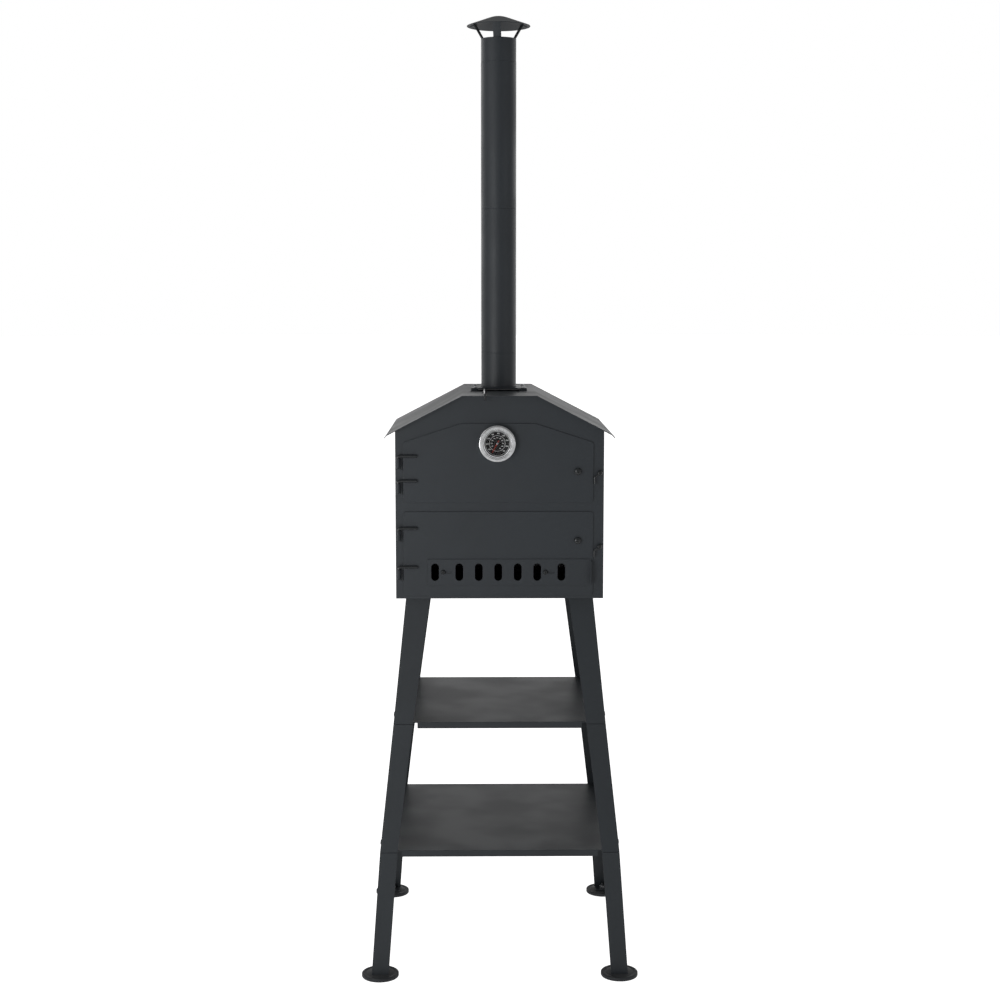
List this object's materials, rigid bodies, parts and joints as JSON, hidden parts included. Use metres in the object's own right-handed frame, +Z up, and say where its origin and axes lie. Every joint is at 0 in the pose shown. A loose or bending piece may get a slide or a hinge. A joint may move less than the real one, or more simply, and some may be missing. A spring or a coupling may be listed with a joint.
{
  "type": "charcoal pizza oven",
  "caption": "Outdoor charcoal pizza oven: sheet-steel house-shaped body with a cooking door over a vented fire door, thermometer, tall flue with rain cap, on a splayed stand with shelves.",
  "frame": {"origin": "on the floor under the middle of the four feet", "axes": "+Z up, the doors face -Y, +X to the right seen from the front"},
  "size_m": [0.4634, 0.464, 1.6008],
  "materials": {
    "body_coat": "matt heat-proof black coat, very fine texture",
    "stand_coat": "matt black powder coat",
    "foot_coat": "matt black powder coat",
    "rod_coat": "satin black coat on rods, knobs and dark screws",
    "zinc": "bright zinc plate",
    "inner_steel": "dull black steel",
    "fireclay": "rough unglazed fireclay",
    "bezel_chrome": "polished chrome",
    "dial_face": "printed matt black dial",
    "needle_red": "red enamel",
    "lens_glass": "clear flat glass"
  },
  "bodies": {
    "oven_and_stand": {"front_frame": "body_coat", "back_panel": "body_coat", "left_side_panel": "body_coat", "right_side_panel": "body_coat", "floor_plate": "body_coat", "roof": "body_coat", "flue_guide": "body_coat", "flue_base": "body_coat", "cap_collar": "body_coat", "cap_straps": "body_coat", "rain_cap": "body_coat", "lower_pipe": "body_coat", "upper_pipe": "body_coat", "front_left_leg_lower": "stand_coat", "front_left_leg_middle": "stand_coat", "front_left_leg_upper": "stand_coat", "front_right_leg_lower": "stand_coat", "front_right_leg_middle": "stand_coat", "front_right_leg_upper": "stand_coat", "back_left_leg_lower": "stand_coat", "back_left_leg_middle": "stand_coat", "back_left_leg_upper": "stand_coat", "back_right_leg_lower": "stand_coat", "back_right_leg_middle": "stand_coat", "back_right_leg_upper": "stand_coat", "upper_shelf": "stand_coat", "lower_shelf": "stand_coat", "front_left_foot": "foot_coat", "front_right_foot": "foot_coat", "back_left_foot": "foot_coat", "back_right_foot": "foot_coat", "latch_screws": "rod_coat", "stand_bolts": "rod_coat", "flange_screws": "zinc", "stand_nuts": "zinc", "foot_nuts": "zinc", "stone_ledges": "inner_steel", "grate_ledges": "inner_steel", "charcoal_grate": "inner_steel", "ash_pan": "inner_steel", "pizza_stones": "fireclay"},
    "upper_door": {"upper_door": "body_coat", "upper_door_hinge_rods": "rod_coat", "upper_door_knob": "rod_coat", "thermometer_case": "body_coat", "thermometer_nut": "zinc", "thermometer_dial": "dial_face", "thermometer_lens": "lens_glass", "thermometer_bezel": "bezel_chrome"},
    "needle": {"thermometer_needle": "needle_red"},
    "lower_door": {"lower_door": "body_coat", "lower_door_hinge_rods": "rod_coat", "lower_door_knob": "rod_coat", "air_damper_screws": "rod_coat"},
    "air_damper": {"air_damper": "body_coat"},
    "upper_latch": {"upper_latch_hook": "rod_coat"},
    "lower_latch": {"lower_latch_hook": "rod_coat"},
    "flue_damper": {"flue_damper_blade": "inner_steel", "flue_damper_rod": "rod_coat"}
  },
  "joints": [
    {"name": "upper_door_hinge", "type": "hinge", "parent": "oven_and_stand", "child": "upper_door", "pos_m": [-0.1669, -0.177, 0.8536], "axis": [0, 0, -1], "range_deg": [0, 135]},
    {"name": "lower_door_hinge", "type": "hinge", "parent": "oven_and_stand", "child": "lower_door", "pos_m": [-0.1669, -0.177, 0.72275], "axis": [0, 0, -1], "range_deg": [0, 135]},
    {"name": "upper_latch_pivot", "type": "hinge", "parent": "oven_and_stand", "child": "upper_latch", "pos_m": [0.1641, -0.1767, 0.846], "axis": [0, -1, 0], "range_deg": [-35, 110]},
    {"name": "lower_latch_pivot", "type": "hinge", "parent": "oven_and_stand", "child": "lower_latch", "pos_m": [0.1641, -0.1767, 0.7245], "axis": [0, -1, 0], "range_deg": [-35, 110]},
    {"name": "air_damper_slide", "type": "slide", "parent": "lower_door", "child": "air_damper", "axis": [-1, 0, 0], "range_m": [0, 0.0131]},
    {"name": "flue_damper_slide", "type": "slide", "parent": "oven_and_stand", "child": "flue_damper", "axis": [0, -1, 0], "range_m": [0, 0.062]},
    {"name": "needle_pivot", "type": "hinge", "parent": "upper_door", "child": "needle", "pos_m": [-0.004, -0.1805, 0.89503], "axis": [0, 1, 0], "range_deg": [0, 300]}
  ]
}
